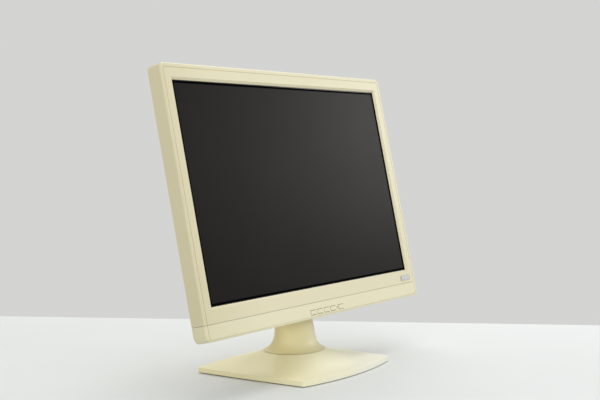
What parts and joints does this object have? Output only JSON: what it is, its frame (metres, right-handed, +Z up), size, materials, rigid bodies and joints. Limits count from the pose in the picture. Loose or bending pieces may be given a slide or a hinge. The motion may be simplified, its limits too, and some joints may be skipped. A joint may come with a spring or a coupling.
{
  "type": "computer monitor",
  "caption": "Flat-panel desk monitor: a tilting widescreen head with a front key row, on a short flared neck and a flat dished base.",
  "frame": {"origin": "on the desk, under the middle of the base", "axes": "+Z up, +Y away from the user, +X to the user's right"},
  "size_m": [0.4456, 0.1521, 0.3356],
  "materials": {
    "ivory_casing": "fine satin moulding, yellowed with age",
    "ivory_chin": "fine satin moulding, slightly paler",
    "ivory_back": "fine textured moulding",
    "ivory_stand": "fine satin moulding, yellowed with age",
    "grey_plastic": "moulded",
    "black_plastic": "moulded",
    "foot_rubber": "matt",
    "sheet_steel": "zinc plated sheet",
    "screw_steel": "zinc plated",
    "contact_brass": "turned",
    "circuit_board": "solder resist",
    "screen_film": "anti-glare film",
    "screen_glass": "black bordered glass",
    "diffuser": "white film",
    "clear_acrylic": "polished",
    "lamp_glass": "white coated tube",
    "badge_metal": "satin",
    "lead_film": "flat film lead"
  },
  "bodies": {
    "stand": {"base_cover": "ivory_stand", "base_tray": "sheet_steel", "base_screws": "screw_steel", "rubber_feet": "foot_rubber", "base_weight": "sheet_steel", "neck_front_cover": "ivory_stand", "neck_rear_cover": "ivory_stand", "neck_screw": "screw_steel", "neck_column": "sheet_steel", "column_bolts": "screw_steel", "hinge_shafts": "screw_steel", "hinge_washers": "screw_steel", "hinge_nuts": "screw_steel"},
    "head": {"front_bezel": "ivory_casing", "chin_cover": "ivory_chin", "rear_cover": "ivory_back", "cover_screws": "screw_steel", "vesa_inserts": "contact_brass", "badge": "badge_metal", "hinge_brackets": "sheet_steel", "bracket_screws": "screw_steel", "support_plate": "sheet_steel", "polariser_film": "screen_film", "lcd_glass": "screen_glass", "panel_front_frame": "sheet_steel", "diffuser_sheets": "diffuser", "light_guide": "clear_acrylic", "backlight_lamps": "lamp_glass", "panel_back_tray": "sheet_steel", "timing_board": "circuit_board", "main_board": "circuit_board", "power_board": "circuit_board", "board_shield": "sheet_steel", "panel_ribbon": "lead_film", "ac_inlet": "black_plastic", "inlet_pins": "contact_brass", "vga_socket": "grey_plastic", "dvi_socket": "grey_plastic", "jack_posts": "screw_steel", "key_board": "circuit_board", "tact_switches": "black_plastic", "power_led": "clear_acrylic"},
    "menu_key": {"menu_button": "ivory_chin"},
    "minus_key": {"minus_button": "ivory_chin"},
    "plus_key": {"plus_button": "ivory_chin"},
    "source_key": {"source_button": "ivory_chin"},
    "power_key": {"power_button": "ivory_chin"}
  },
  "joints": [
    {"name": "head_tilt", "type": "hinge", "parent": "stand", "child": "head", "pos_m": [0, 0.01831, 0.08402], "axis": [-1, 0, 0], "range_deg": [-18.2, 6.8]},
    {"name": "menu_press", "type": "slide", "parent": "head", "child": "menu_key", "axis": [0, 0.9736, -0.2284], "range_m": [0, 0.0008], "stiffness_N_per_m": 600, "springref_m": -0.0006},
    {"name": "minus_press", "type": "slide", "parent": "head", "child": "minus_key", "axis": [0, 0.9736, -0.2284], "range_m": [0, 0.0008], "stiffness_N_per_m": 600, "springref_m": -0.0006},
    {"name": "plus_press", "type": "slide", "parent": "head", "child": "plus_key", "axis": [0, 0.9736, -0.2284], "range_m": [0, 0.0008], "stiffness_N_per_m": 600, "springref_m": -0.0006},
    {"name": "source_press", "type": "slide", "parent": "head", "child": "source_key", "axis": [0, 0.9736, -0.2284], "range_m": [0, 0.0008], "stiffness_N_per_m": 600, "springref_m": -0.0006},
    {"name": "power_press", "type": "slide", "parent": "head", "child": "power_key", "axis": [0, 0.9736, -0.2284], "range_m": [0, 0.0008], "stiffness_N_per_m": 600, "springref_m": -0.0006}
  ]
}
